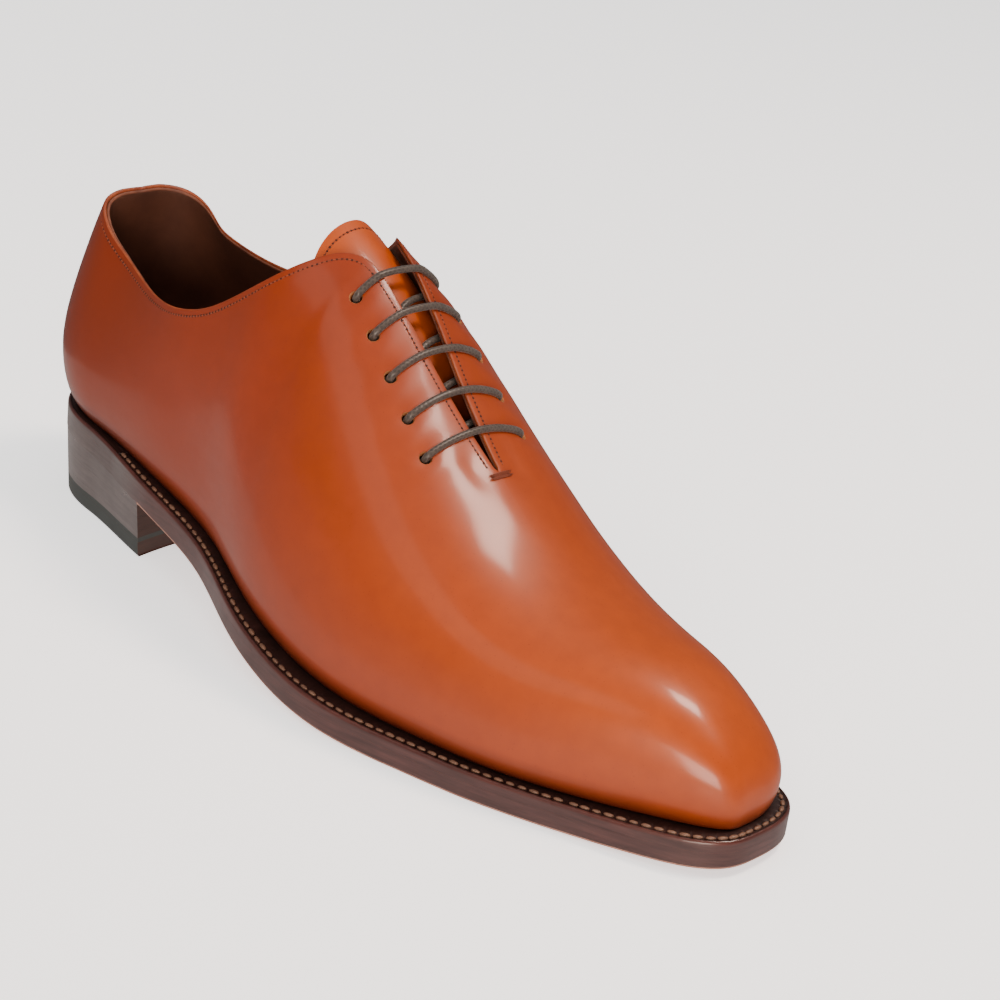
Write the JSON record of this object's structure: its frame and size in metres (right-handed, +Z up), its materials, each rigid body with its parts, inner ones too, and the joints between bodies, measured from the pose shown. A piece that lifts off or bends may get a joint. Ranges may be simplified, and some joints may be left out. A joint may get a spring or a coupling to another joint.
{
  "type": "cut oxford shoe",
  "caption": "Right lace-up dress shoe with a seamless closed-lacing upper, long chiselled toe, leather sole and stacked heel.",
  "frame": {"origin": "centre of the bounding box, on the ground plane under the shoe", "axes": "+X towards the toe, +Y towards the medial side, +Z up"},
  "size_m": [0.305, 0.101, 0.1259],
  "materials": {
    "calf": "polished tan calf",
    "lining": "matt brown lining leather",
    "sole_leather": "brown stained satin",
    "edge_leather": "dark burgundy-brown edge dressing",
    "stack_leather": "dark waxed stacked leather",
    "heel_rubber": "matt black rubber",
    "waxed_cotton": "round waxed cotton"
  },
  "bodies": {
    "root": {"outsole": "sole_leather", "welt": "edge_leather", "heel_rand": "edge_leather", "heel_lift_upper": "stack_leather", "heel_lift_lower": "stack_leather", "rubber_lift": "heel_rubber", "top_piece": "stack_leather", "top_piece_tip": "heel_rubber", "insole": "lining", "upper": "calf", "tongue": "calf", "lace": "waxed_cotton"}
  },
  "joints": []
}
